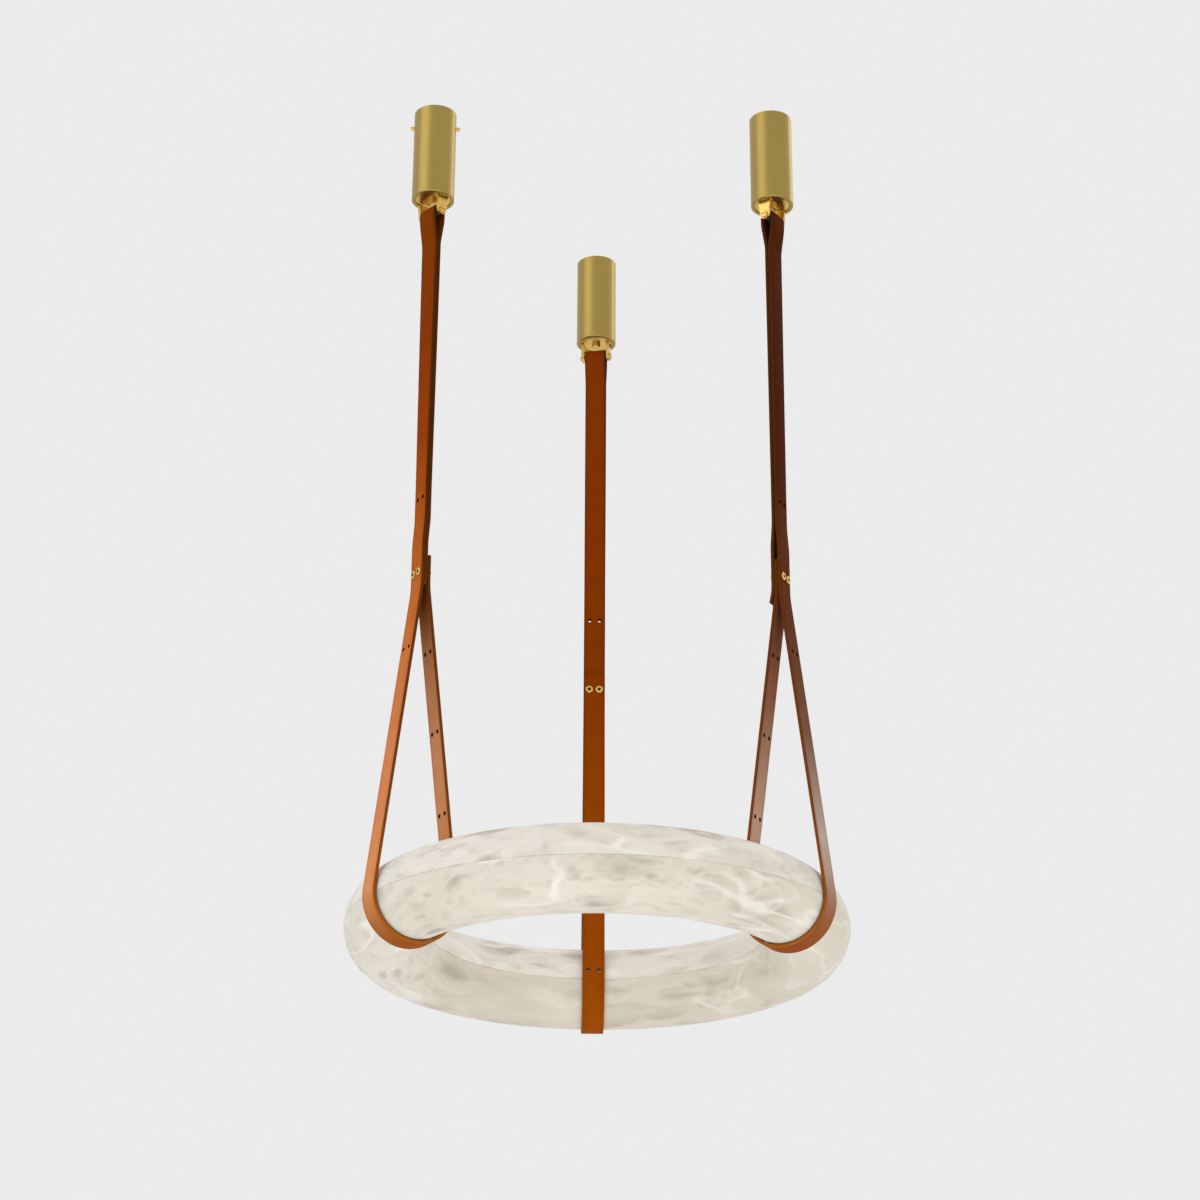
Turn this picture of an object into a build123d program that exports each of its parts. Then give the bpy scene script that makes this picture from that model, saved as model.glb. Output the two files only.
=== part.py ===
# Alabaster ring pendant light that hangs from three brass canopies by leather straps.
# Sizes are millimetres. The origin is on the ceiling, on the ring's axis, with +Z up.
import math
import os

from build123d import *

# The stone ring
ring_diameter = 600.0
tube_diameter = 100.0
stone_wall = 12.0
seam_bevel = 0.8
ring_drop = 1055.0

# The light inside the ring
carrier_thickness = 3.0
carrier_ledge = 3.0
carrier_play = 0.5
window_count = 8
window_width = 18.0
window_arc = 36.0
window_gap = 1.0
strip_width = 10.0
strip_thickness = 1.6
dowel_count = 6
dowel_diameter = 5.0
dowel_length = 16.0

# The cable gland in the top of the stone
gland_thread = 12.0
gland_flange = 20.0
gland_height = 9.0
gland_bore = 5.0
gland_shoulder = 1.5
gland_bevel = 1.0
spot_face_depth = 3.0

# Brass canopies and what they hide
canopy_diameter = 54.0
canopy_height = 128.0
cover_wall = 1.5
cover_edge = 0.8
foot_margin = 2.5
ceiling_gap = 0.5
frame_wall = 3.0
frame_leg_width = 14.0
frame_plate = 4.0
frame_bar = 6.0
ceiling_bolt_hole = 8.5
fixing_screw_hole = 4.5
fixing_screw_spacing = 30.0
wire_hole = 8.0
wire_hole_offset = 15.5
wire_hole_turn = 45.0
side_screw_diameter = 5.0
side_screw_length = 9.0
side_screw_drop = 20.0

# The LED driver in the rear canopy
driver_depth = 20.0
driver_height = 72.0
driver_corner = 2.0
terminal_width = 24.0
terminal_depth = 14.0
terminal_height = 11.0
terminal_hole = 4.4
terminal_ways = 3

# Yokes and their pins
yoke_base = 5.0
yoke_recess = 1.0
ear_thickness = 4.0
ear_radius = 6.5
ear_root_width = 18.0
ear_fillet = 2.5
pin_drop = 20.0
pin_diameter = 6.0
pin_head_diameter = 9.5
pin_head_height = 2.0
pin_tail = 2.0
pin_groove = 0.6
pin_bevel = 0.5
clip_diameter = 9.0
clip_thickness = 0.8
clip_grip = 0.4
bolt_diameter = 6.0
bolt_head_height = 5.0
bolt_head_across = 10.0
bolt_bevel = 0.6
roller_diameter = 10.0
roller_crown = 0.6
roller_flat = 8.0
slot_width = 1.4
slot_depth = 1.0

# Leather straps
strap_width = 28.0
strap_thickness = 4.0
joint_height = 407.0
hole_pitch = 100.0
hole_diameter = 5.0
outer_leg_holes = [1]
stud_spacing = 13.0
stud_head_diameter = 10.0
stud_head_height = 1.8
stud_bevel = 0.6
stud_socket = 4.2
stud_socket_depth = 1.1
stud_screw_diameter = 3.0
tail_up = 21.0
tail_down = 15.0
leg_break = 20.0
leg_bend_radius = 120.0
shift_start = 40.0
shift_end = 70.0
twist_start = 115.0
twist_steps = 5
loop_run = 60.0
loop_bend_radius = 60.0
flare_angle = 5.0

# Clearances
sling_gap = 0.9
ply_gap = 0.3
roller_gap = 0.3
bore_play = 0.05
hole_play = 0.2
ear_play = 1.5
lip_gap = 0.3
frame_gap = 0.4
driver_play = 2.4

# What differs from drop to drop: the azimuth about the ring's axis, how far the yoke is turned
# on its bolt, which ear holds the pin's head, how far the side screws stand proud,
# whether the end of the upper ply lies innermost in the joint, and which places
# at the hole pitch down the inner leg have a pair of holes
drops = {
    "rear": {"azimuth": 90.0, "turn": -14.0, "head": 1, "proud": 0.0,
             "upper_end_inside": False, "inner_leg_holes": [2, 3, 4]},
    "left": {"azimuth": 210.0, "turn": 12.0, "head": -1, "proud": 4.5,
             "upper_end_inside": False, "inner_leg_holes": [1, 2, 3, 4]},
    "right": {"azimuth": 330.0, "turn": -6.0, "head": 1, "proud": 0.0,
              "upper_end_inside": True, "inner_leg_holes": [1, 2, 3, 4]},
}

# Sizes that follow from those above
tube_radius = tube_diameter / 2
ring_radius = ring_diameter / 2 - tube_radius
cavity_radius = tube_radius - stone_wall
canopy_radius = canopy_diameter / 2
cover_bore = canopy_radius - cover_wall
frame_radius = cover_bore - frame_gap
driver_diagonal = 2 * (frame_radius - frame_wall - driver_play)
driver_width = math.sqrt(driver_diagonal ** 2 - driver_depth ** 2)
yoke_base_top = -canopy_height + yoke_recess + yoke_base
yoke_base_bottom = yoke_base_top - yoke_base
bar_top = yoke_base_top + frame_bar
pin_level = -canopy_height - pin_drop
pin_height = ring_drop + pin_level
ear_gap = strap_width + 2 * ear_play
yoke_width = ear_gap + 2 * ear_thickness
foot_opening = yoke_width / 2 + foot_margin
roller_radius = roller_diameter / 2
ply_pitch = strap_thickness + ply_gap
wrap_radius = tube_radius + sling_gap + strap_thickness / 2
loop_radius = roller_radius + roller_gap + strap_thickness / 2
joint_half = ply_pitch + strap_thickness / 2
post_radius = hole_diameter / 2
over = 1.0


def revolved(points):
    """Turn a closed outline of (radius, height) points about the Z axis."""
    outline = Polyline([(r, 0, z) for r, z in points], close=True)
    return revolve(make_face(outline), Axis.Z)


def column(radius, low, high):
    """A solid cylinder on the Z axis between two heights."""
    return Pos(0, 0, (low + high) / 2) * Cylinder(radius, high - low)


def cross_rod(radius, start, end):
    """A solid cylinder along X between two places."""
    return Pos((start + end) / 2, 0, 0) * Rot(0, 90, 0) * Cylinder(radius, end - start)


def through_rod(radius, start, end):
    """A solid cylinder along Y between two places."""
    return Pos(0, (start + end) / 2, 0) * Rot(90, 0, 0) * Cylinder(radius, end - start)


# Canopies

def canopy_cover():
    top = -ceiling_gap
    foot = -canopy_height
    cover = revolved([
        (cover_bore, top), (canopy_radius, top), (canopy_radius, foot + cover_edge),
        (canopy_radius - cover_edge, foot), (foot_opening, foot),
        (foot_opening, foot + cover_wall), (cover_bore, foot + cover_wall),
    ])
    screw_hole = cross_rod(side_screw_diameter / 2 + hole_play, -canopy_radius - over, canopy_radius + over)
    return cover - Pos(0, 0, -side_screw_drop) * screw_hole


def hanger_frame():
    leg_height = -frame_plate - yoke_base_top
    sleeve = column(frame_radius, yoke_base_top, 0) - column(frame_radius - frame_wall, yoke_base_top, 0)
    legs = sleeve & Pos(0, 0, yoke_base_top + leg_height / 2) * Box(
        canopy_diameter, frame_leg_width, leg_height)
    plate = column(frame_radius, -frame_plate, 0)
    bar = column(frame_radius, yoke_base_top, bar_top) & Pos(0, 0, yoke_base_top) * Box(
        canopy_diameter, frame_leg_width, 2 * frame_bar)
    frame = legs + plate + bar
    frame -= column(ceiling_bolt_hole / 2, -frame_plate - over, over)
    frame -= column(bolt_diameter / 2 + bore_play, yoke_base_top - over, bar_top + over)
    for side in (-1, 1):
        fixing = column(fixing_screw_hole / 2, -frame_plate - over, over)
        frame -= Pos(0, side * fixing_screw_spacing / 2, 0) * fixing
    wires = column(wire_hole / 2, -frame_plate - over, over)
    frame -= Rot(0, 0, wire_hole_turn) * Pos(wire_hole_offset, 0, 0) * wires
    tapped = cross_rod(side_screw_diameter / 2 + bore_play, -canopy_radius, canopy_radius)
    return frame - Pos(0, 0, -side_screw_drop) * tapped


def side_screws(proud):
    screws = []
    for side in (-1, 1):
        tip = canopy_radius + proud - side_screw_length
        screw = cross_rod(side_screw_diameter / 2, tip, canopy_radius + proud)
        slot = Pos(canopy_radius + proud, 0, 0) * Box(2 * slot_depth, side_screw_diameter + over, slot_width)
        screws.append(Rot(0, 0, 90 - 90 * side) * Pos(0, 0, -side_screw_drop) * (screw - slot))
    return Compound(children=screws)


# Driver and terminal block of the rear canopy

def led_driver():
    body = Box(driver_width, driver_depth, driver_height, align=(Align.CENTER, Align.CENTER, Align.MIN))
    body = fillet(body.edges().filter_by(Axis.Z), radius=driver_corner)
    return Pos(0, 0, bar_top) * body


def terminal_block():
    block = Box(terminal_width, terminal_depth, terminal_height,
                align=(Align.CENTER, Align.CENTER, Align.MIN))
    for way in range(terminal_ways):
        place = (way - (terminal_ways - 1) / 2) * terminal_width / terminal_ways
        block -= Pos(place, 0, terminal_height) * Cylinder(terminal_hole / 2, terminal_height)
    return Pos(0, 0, bar_top + driver_height) * block


# Yokes, their bolts, pins and rollers

def yoke():
    base = column(foot_opening - lip_gap, yoke_base_bottom, yoke_base_top)
    root = yoke_base_bottom + yoke_base / 2
    web = Polyline([
        (0, -ear_root_width / 2, root), (0, ear_root_width / 2, root),
        (0, ear_radius, pin_level), (0, -ear_radius, pin_level),
    ], close=True)
    ear_side = extrude(make_face(web), amount=yoke_width / 2, both=True)
    ear_side += Pos(0, 0, pin_level) * cross_rod(ear_radius, -yoke_width / 2, yoke_width / 2)
    space_height = yoke_base_bottom - pin_level + 2 * ear_radius
    space = Box(ear_gap, ear_root_width + over, space_height,
                align=(Align.CENTER, Align.CENTER, Align.MAX))
    space = fillet(space.edges().filter_by(Axis.Y).group_by(Axis.Z)[-1], radius=ear_fillet)
    ears = ear_side - Pos(0, 0, yoke_base_bottom) * space
    body = base + ears
    body -= Pos(0, 0, pin_level) * cross_rod(pin_diameter / 2 + bore_play, -yoke_width, yoke_width)
    return body - column(bolt_diameter / 2 + bore_play, yoke_base_bottom - over, yoke_base_top + over)


def yoke_bolt():
    shank = column(bolt_diameter / 2, yoke_base_bottom, bar_top)
    head = extrude(RegularPolygon(bolt_head_across / 2, 6, major_radius=False), amount=-bolt_head_height)
    head = chamfer(head.edges().group_by(Axis.Z)[0], length=bolt_bevel)
    return shank + Pos(0, 0, yoke_base_bottom) * head


def yoke_pin(head_side):
    plain_end = -yoke_width / 2 - clip_thickness - pin_tail
    pin = cross_rod(pin_diameter / 2, plain_end, yoke_width / 2)
    pin = chamfer(pin.edges().group_by(Axis.X)[0], length=pin_bevel)
    groove = cross_rod(pin_diameter / 2 + over, -yoke_width / 2 - clip_thickness, -yoke_width / 2)
    pin -= groove - cross_rod(pin_diameter / 2 - pin_groove, -yoke_width, yoke_width)
    face = yoke_width / 2 + pin_head_height
    head = cross_rod(pin_head_diameter / 2, yoke_width / 2, face)
    pin += chamfer(head.edges().group_by(Axis.X)[-1], length=pin_bevel)
    pin -= Pos(face, 0, 0) * Box(2 * slot_depth, pin_head_diameter + over, slot_width)
    turn = 90 - 90 * head_side
    return Pos(0, 0, pin_level) * Rot(0, 0, turn) * pin


def pin_clip(head_side):
    inner = pin_diameter / 2 - pin_groove + bore_play
    clip = cross_rod(clip_diameter / 2, -yoke_width / 2 - clip_thickness, -yoke_width / 2)
    clip -= cross_rod(inner, -yoke_width, 0)
    clip -= Pos(-yoke_width / 2, 0, clip_diameter / 2) * Box(
        2 * clip_thickness + over, 2 * (inner - clip_grip), clip_diameter)
    turn = 90 - 90 * head_side
    return Pos(0, 0, pin_level) * Rot(0, 0, turn) * clip


def strap_roller():
    half = ear_gap / 2 - roller_gap
    end_radius = roller_radius - roller_crown
    barrel = Polyline([
        (-half, 0, 0), (-half, 0, end_radius), (-roller_flat / 2, 0, roller_radius),
        (roller_flat / 2, 0, roller_radius), (half, 0, end_radius), (half, 0, 0),
    ], close=True)
    roller = revolve(make_face(barrel), Axis.X)
    return Pos(0, 0, pin_level) * (roller - cross_rod(pin_diameter / 2 + bore_play, -yoke_width, yoke_width))


# The leather strap, drawn from the side with heights above the ring's centre plane

def leg_angle(offset, corner_height):
    """Angle from upright of a leg that leaves the joint at an offset and touches the wrap."""
    reach = math.hypot(offset, corner_height)
    return math.asin(wrap_radius / reach) - math.atan2(offset, corner_height)


def at(y, z):
    return (0, y, z)


def ply_section(path, place=0):
    """The strap's section, square to a path that starts or ends upright."""
    plane = Plane(origin=path @ place, x_dir=(1, 0, 0), z_dir=path % place)
    return plane * Rectangle(strap_width, strap_thickness)


def swept_ply(*pieces):
    path = Wire([edge for piece in pieces for edge in piece.edges()])
    return sweep(ply_section(path), path=path)


def upper_points(side, offset):
    """A ply from the start of the twist down into the joint, where it lies at an offset."""
    return [
        at(side * ply_pitch / 2, joint_height + twist_start),
        at(side * ply_pitch / 2, joint_height + shift_end),
        at(offset, joint_height + shift_start),
    ]


def main_ply(inner_leg_offset):
    """Outer ply, outer leg, the wrap under the stone, the inner leg and its end in the joint."""
    corner = joint_height - leg_break
    outer = leg_angle(ply_pitch, corner)
    inner = leg_angle(-inner_leg_offset, corner)
    outer_touch = at(wrap_radius * math.cos(outer), wrap_radius * math.sin(outer))
    inner_touch = at(-wrap_radius * math.cos(inner), wrap_radius * math.sin(inner))
    down = FilletPolyline(
        upper_points(1, ply_pitch) + [at(ply_pitch, corner), outer_touch],
        radius=leg_bend_radius)
    wrap = ThreePointArc(outer_touch, at(0, -wrap_radius), inner_touch)
    up = FilletPolyline(
        [inner_touch, at(inner_leg_offset, corner), at(inner_leg_offset, joint_height + tail_up)],
        radius=leg_bend_radius)
    return swept_ply(down, wrap, up), outer, inner


def upper_end(offset, follows_leg, inner_angle):
    """The inner ply's lower end. It follows the inner leg and flares where it lies innermost."""
    points = upper_points(-1, offset)
    if not follows_leg:
        points.append(at(offset, joint_height - tail_down))
        return swept_ply(FilletPolyline(points, radius=leg_bend_radius))
    half = math.tan(inner_angle / 2)
    corner = joint_height - leg_break + ply_pitch * half
    slope = inner_angle + math.radians(flare_angle)
    points.append(at(offset, corner))
    points.append(at(offset - tail_down * math.sin(slope), corner - tail_down * math.cos(slope)))
    return swept_ply(FilletPolyline(points, radius=leg_bend_radius / 2))


def twisted_ply(side, turn):
    """A ply between the joint and the yoke, which turns with the yoke."""
    low = joint_height + twist_start
    high = pin_height - loop_run
    sections = []
    for step in range(twist_steps + 1):
        part = step / twist_steps
        plane = Plane(origin=(0, 0, low + part * (high - low)), x_dir=(1, 0, 0), z_dir=(0, 0, 1))
        section = plane * (Pos(0, side * ply_pitch / 2) * Rectangle(strap_width, strap_thickness))
        sections.append(Rot(0, 0, turn * part) * section)
    return loft(sections, ruled=True)


def top_loop(turn):
    """The loop over the roller, from the end of the twist up and down again."""
    start = pin_height - loop_run
    points = [
        at(-ply_pitch / 2, start),
        at(-ply_pitch / 2, start + loop_run / 4),
        at(-loop_radius, pin_height - loop_run / 5),
        at(-loop_radius, pin_height),
    ]
    up = FilletPolyline(points, radius=loop_bend_radius)
    over_roller = ThreePointArc(points[-1], at(0, pin_height + loop_radius), at(loop_radius, pin_height))
    down = FilletPolyline([at(-y, z) for _, y, z in reversed(points)], radius=loop_bend_radius)
    return Rot(0, 0, turn) * swept_ply(up, over_roller, down)


def hole_pair(radius, depth):
    """Two rods along Y, side by side, which cut or fill a pair of holes."""
    rods = []
    for side in (-1, 1):
        rods.append(Pos(side * stud_spacing / 2, 0, 0) * through_rod(radius, -depth, depth))
    return rods


def leg_holes(strap, side, offset, angle, places):
    """Adjusting holes down a leg, at a steady pitch along the leather from the studs."""
    for number in places:
        run = number * hole_pitch - leg_break
        y = offset + side * run * math.sin(angle)
        z = joint_height - leg_break - run * math.cos(angle)
        tilt = side * math.degrees(angle)
        for rod in hole_pair(hole_diameter / 2 + hole_play, 2 * strap_thickness):
            strap -= Pos(0, y, z) * Rot(tilt, 0, 0) * rod
    return strap


def leather_strap(drop):
    inner_leg_offset = 0.0 if drop["upper_end_inside"] else -ply_pitch
    upper_offset = -ply_pitch if drop["upper_end_inside"] else 0.0
    strap, outer, inner = main_ply(inner_leg_offset)
    strap += upper_end(upper_offset, drop["upper_end_inside"], inner)
    strap += twisted_ply(1, drop["turn"])
    strap += twisted_ply(-1, drop["turn"])
    strap += top_loop(drop["turn"])
    for height in (joint_height, joint_height + hole_pitch):
        for rod in hole_pair(hole_diameter / 2 + hole_play, 2 * joint_half):
            strap -= Pos(0, 0, height) * rod
    strap = leg_holes(strap, 1, ply_pitch, outer, outer_leg_holes)
    strap = leg_holes(strap, -1, inner_leg_offset, inner, drop["inner_leg_holes"])
    return Pos(0, 0, -ring_drop) * strap


# Studs that clamp the joint: a hollow post from the outer face and a screw from the inner one

def stud_head(side):
    low = joint_half
    high = joint_half + stud_head_height
    head = through_rod(stud_head_diameter / 2, low, high)
    head = chamfer(head.edges().group_by(Axis.Y)[-1], length=stud_bevel)
    socket = Pos(0, high, 0) * Rot(90, 0, 0) * extrude(
        RegularPolygon(stud_socket / 2, 6, major_radius=False), amount=stud_socket_depth, both=True)
    return Rot(0, 0, 90 - 90 * side) * (head - socket)


def studs(side):
    parts = []
    for place in (-1, 1):
        if side > 0:
            stud = stud_head(1) + through_rod(post_radius, -joint_half, joint_half)
            stud -= through_rod(stud_screw_diameter / 2 + bore_play, -joint_half - over, joint_half)
        else:
            stud = stud_head(-1) + through_rod(stud_screw_diameter / 2, -joint_half, joint_half / 2)
        parts.append(Pos(place * stud_spacing / 2, 0, joint_height - ring_drop) * stud)
    return Compound(children=parts)


# The stone ring and the light inside it

def stone_shell(side):
    """Half of the hollow ring, above the middle plane for side 1 and below it for side -1."""
    ledge = cavity_radius + carrier_ledge
    step = side * carrier_thickness / 2
    bevel = side * seam_bevel
    edge = tube_radius - seam_bevel
    inner_end = math.sqrt(cavity_radius ** 2 - step ** 2)
    outer_end = math.sqrt(tube_radius ** 2 - bevel ** 2)
    rim = [(outer_end, 0, bevel), (edge, 0, 0), (ledge, 0, 0), (ledge, 0, step), (inner_end, 0, step)]
    far_rim = [(-x, y, z) for x, y, z in reversed(rim)]
    outline = [
        Polyline(rim),
        ThreePointArc(rim[-1], (0, 0, side * cavity_radius), far_rim[0]),
        Polyline(far_rim),
        ThreePointArc(far_rim[-1], (0, 0, side * tube_radius), rim[0]),
    ]
    shell = revolve(Pos(ring_radius, 0, 0) * make_face(outline), Axis.Z)
    for hole in dowel_places():
        shell -= hole * Cylinder(dowel_diameter / 2 + bore_play, dowel_length + 2 * bore_play)
    if side > 0:
        gland_place = gland_axis()
        shell -= gland_place * column(gland_thread / 2 + bore_play, 0, tube_diameter)
        spot_face = column(gland_flange / 2 + bore_play, tube_radius - spot_face_depth, tube_diameter)
        shell -= gland_place * spot_face
    return Pos(0, 0, -ring_drop) * shell


def dowel_places():
    """Places of the dowels, in the outer wall of the stone, clear of the slings."""
    radius = ring_radius + (cavity_radius + carrier_ledge + tube_radius) / 2
    first = 360 / dowel_count / 2
    return [Rot(0, 0, first + 360 / dowel_count * n) * Pos(radius, 0, 0) for n in range(dowel_count)]


def dowel_pins():
    pins = [Pos(0, 0, -ring_drop) * place * Cylinder(dowel_diameter / 2, dowel_length)
            for place in dowel_places()]
    return Compound(children=pins)


def led_carrier():
    """Flat ring that lies on the ledges of both shells, with windows beside the LED strips."""
    half = cavity_radius + carrier_ledge - carrier_play
    ring = Cylinder(ring_radius + half, carrier_thickness)
    ring -= Cylinder(ring_radius - half, carrier_thickness + over)
    reach = 2 * ring_radius
    spread = reach * math.tan(math.radians(window_arc / 2))
    wedge = Polyline([(0, 0, 0), (reach, -spread, 0), (reach, spread, 0)], close=True)
    sector = extrude(make_face(wedge), amount=carrier_thickness, both=True)
    for row in (-1, 1):
        middle = ring_radius + row * (strip_width / 2 + window_width / 2 + window_gap)
        band = Cylinder(middle + window_width / 2, carrier_thickness + over)
        band -= Cylinder(middle - window_width / 2, carrier_thickness + 2 * over)
        window = band & sector
        for number in range(window_count):
            ring -= Rot(0, 0, 360 / window_count * number) * window
    return Pos(0, 0, -ring_drop) * ring


def led_strip(side):
    strip = Cylinder(ring_radius + strip_width / 2, strip_thickness)
    strip -= Cylinder(ring_radius - strip_width / 2, strip_thickness + over)
    return Pos(0, 0, -ring_drop + side * (carrier_thickness + strip_thickness) / 2) * strip


def gland_axis():
    return Rot(0, 0, drops["rear"]["azimuth"]) * Pos(ring_radius, 0, 0)


def cable_gland():
    seat = tube_radius - spot_face_depth
    top = seat + gland_height
    body = column(gland_thread / 2, cavity_radius, seat)
    flange = column(gland_flange / 2, seat, seat + spot_face_depth)
    nose = revolved([
        (0, seat), (gland_thread / 2 + gland_shoulder, seat + spot_face_depth),
        (gland_thread / 2, top - gland_bevel), (gland_thread / 2 - gland_bevel, top), (0, top),
    ])
    gland = body + flange + nose - column(gland_bore / 2, 0, top + over)
    return Pos(0, 0, -ring_drop) * gland_axis() * gland


# Assembly

nodes = {}

for name, drop in drops.items():
    azimuth = drop["azimuth"]
    away = math.radians(azimuth)
    ceiling_place = Pos(ring_radius * math.cos(away), ring_radius * math.sin(away), 0)
    strap_place = ceiling_place * Rot(0, 0, azimuth - 90)
    yoke_place = strap_place * Rot(0, 0, drop["turn"])
    nodes["canopy_cover_" + name] = ceiling_place * canopy_cover()
    nodes["hanger_frame_" + name] = ceiling_place * hanger_frame()
    nodes["side_screws_" + name] = ceiling_place * side_screws(drop["proud"])
    nodes["yoke_" + name] = yoke_place * yoke()
    nodes["yoke_bolt_" + name] = yoke_place * yoke_bolt()
    nodes["yoke_pin_" + name] = yoke_place * yoke_pin(drop["head"])
    nodes["pin_clip_" + name] = yoke_place * pin_clip(drop["head"])
    nodes["strap_roller_" + name] = yoke_place * strap_roller()
    nodes["strap_" + name] = strap_place * leather_strap(drop)
    nodes["stud_posts_" + name] = strap_place * studs(1)
    nodes["stud_screws_" + name] = strap_place * studs(-1)
    if name == "rear":
        nodes["led_driver"] = ceiling_place * led_driver()
        nodes["terminal_block"] = ceiling_place * terminal_block()

nodes["alabaster_upper_shell"] = stone_shell(1)
nodes["alabaster_lower_shell"] = stone_shell(-1)
nodes["led_carrier"] = led_carrier()
nodes["led_strip_upper"] = led_strip(1)
nodes["led_strip_lower"] = led_strip(-1)
nodes["dowel_pins"] = dowel_pins()
nodes["cable_gland"] = cable_gland()

os.makedirs("parts", exist_ok=True)
for name, shape in nodes.items():
    export_step(shape, "parts/" + name + ".step")
print(len(nodes), "sub-parts written")
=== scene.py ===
# Looks of the alabaster ring pendant light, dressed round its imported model. Metres, +Z up.
import math

import bpy
from mathutils import Matrix, Vector


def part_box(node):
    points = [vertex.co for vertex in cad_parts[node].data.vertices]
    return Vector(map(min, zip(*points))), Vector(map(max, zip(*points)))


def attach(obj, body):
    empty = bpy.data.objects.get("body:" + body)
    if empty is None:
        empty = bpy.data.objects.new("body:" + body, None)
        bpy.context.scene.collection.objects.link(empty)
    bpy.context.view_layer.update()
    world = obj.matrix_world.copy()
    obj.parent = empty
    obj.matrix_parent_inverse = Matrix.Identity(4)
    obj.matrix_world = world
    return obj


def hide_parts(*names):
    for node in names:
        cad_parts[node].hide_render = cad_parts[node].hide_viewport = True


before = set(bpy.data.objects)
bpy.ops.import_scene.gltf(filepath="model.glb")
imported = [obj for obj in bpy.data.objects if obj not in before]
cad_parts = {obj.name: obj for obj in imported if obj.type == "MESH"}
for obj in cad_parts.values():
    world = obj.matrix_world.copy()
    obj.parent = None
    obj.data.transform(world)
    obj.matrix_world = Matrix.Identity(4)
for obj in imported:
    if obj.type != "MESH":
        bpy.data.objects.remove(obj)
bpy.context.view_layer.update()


# Node trees written as Python expressions

class Signal:
    # one output socket, so that sums of sockets read as sums
    def __init__(self, graph, socket):
        self.graph = graph
        self.socket = socket

    def __add__(self, other):
        return self.graph.maths("ADD", self, other)

    def __sub__(self, other):
        return self.graph.maths("SUBTRACT", self, other)

    def __rsub__(self, other):
        return self.graph.maths("SUBTRACT", other, self)

    def __mul__(self, other):
        return self.graph.maths("MULTIPLY", self, other)

    def __truediv__(self, other):
        return self.graph.maths("DIVIDE", self, other)

    def __rtruediv__(self, other):
        return self.graph.maths("DIVIDE", other, self)

    def __pow__(self, other):
        return self.graph.maths("POWER", self, other)

    def __rpow__(self, other):
        return self.graph.maths("POWER", other, self)

    __radd__ = __add__
    __rmul__ = __mul__

    def size(self):
        return self.graph.maths("ABSOLUTE", self)


class Graph:
    # any node tree: one method adds any node, with its settings first and its sockets after
    def __init__(self, tree):
        self.tree = tree

    def node(self, kind, settings=None, sockets=None, outlet=0):
        node = self.tree.nodes.new(kind)
        for name, value in (settings or {}).items():
            if name == "stops":
                self.setStops(node.color_ramp, value)
            else:
                setattr(node, name, value)
        for name, value in (sockets or {}).items():
            self.plug(node.inputs[name], value)
        return Signal(self, node.outputs[outlet]) if node.outputs else node

    def plug(self, socket, value):
        if isinstance(value, Signal):
            self.tree.links.new(value.socket, socket)
        else:
            socket.default_value = value

    def setStops(self, ramp, stops):
        while len(ramp.elements) < len(stops):
            ramp.elements.new(1.0)
        for element, (place, colour) in zip(ramp.elements, stops):
            element.position = place
            element.color = (*colour, 1.0)

    def maths(self, operation, first, second=0.0):
        return self.node("ShaderNodeMath", {"operation": operation}, {0: first, 1: second})

    def vector(self, operation, first, second=(0.0, 0.0, 0.0)):
        return self.node("ShaderNodeVectorMath", {"operation": operation}, {0: first, 1: second})

    def scaled(self, vector, factors):
        return self.vector("MULTIPLY", vector, factors)

    def parts(self, vector):
        node = self.node("ShaderNodeSeparateXYZ", None, {"Vector": vector}).socket.node
        return [Signal(self, outlet) for outlet in node.outputs]

    def join(self, x, y, z):
        return self.node("ShaderNodeCombineXYZ", None, {"X": x, "Y": y, "Z": z})

    def band(self, value, low, high):
        # 0 below low, 1 above high, and smooth between
        return self.node("ShaderNodeMapRange", {"interpolation_type": "SMOOTHSTEP"},
                         {"Value": value, "From Min": low, "From Max": high})


class Finish(Graph):
    # a material whose shader is a Principled BSDF
    def __init__(self, name):
        self.material = bpy.data.materials.new(name)
        self.material.use_nodes = True
        super().__init__(self.material.node_tree)
        self.shader = self.tree.nodes["Principled BSDF"]
        self.place = self.node("ShaderNodeTexCoord", outlet="Object")

    def shade(self, sockets):
        for name, value in sockets.items():
            self.plug(self.shader.inputs[name], value)
        return self.material

    def mix(self, factor, first, second):
        first, second = [c if isinstance(c, Signal) else (*c, 1.0) for c in (first, second)]
        return self.node("ShaderNodeMix", {"data_type": "RGBA"}, {0: factor, 6: first, 7: second}, 2)

    def noise(self, place, perMetre, detail=3.0, roughness=0.5, outlet="Fac"):
        return self.node("ShaderNodeTexNoise", None, {
            "Vector": place, "Scale": perMetre, "Detail": detail, "Roughness": roughness}, outlet)

    def cells(self, place, perMetre, outlet="Distance"):
        return self.node("ShaderNodeTexVoronoi", None, {"Vector": place, "Scale": perMetre}, outlet)

    def warped(self, place, perMetre, reach):
        # the place pushed about by a slow noise, so that patterns on it wander
        push = self.vector("SUBTRACT", self.noise(place, perMetre, 2.0, outlet="Color"), (0.5, 0.5, 0.5))
        return self.vector("ADD", place, self.scaled(push, (reach, reach, reach)))

    def bump(self, height, depth, normal=None):
        sockets = {"Height": height, "Distance": depth}
        if normal is not None:
            sockets["Normal"] = normal
        return self.node("ShaderNodeBump", None, sockets)

    def softEdge(self, radius):
        return self.node("ShaderNodeBevel", {"samples": 6}, {"Radius": radius})


def dress(material, *names):
    # gives CAD nodes their material
    for name in names:
        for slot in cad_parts[name].material_slots:
            slot.material = material


# The camera stands where the photograph was taken from and looks up at the ring

photoCamera = {
    "place": (-0.0689036, -3.2466386, -2.0275222),
    "pitch": 23.3682,
    "yaw": 1.24515,
    "roll": 0.277394,
    "lens": 85.088,
    "sensor": 36.0,
    "nearest": 0.05,
}


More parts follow.
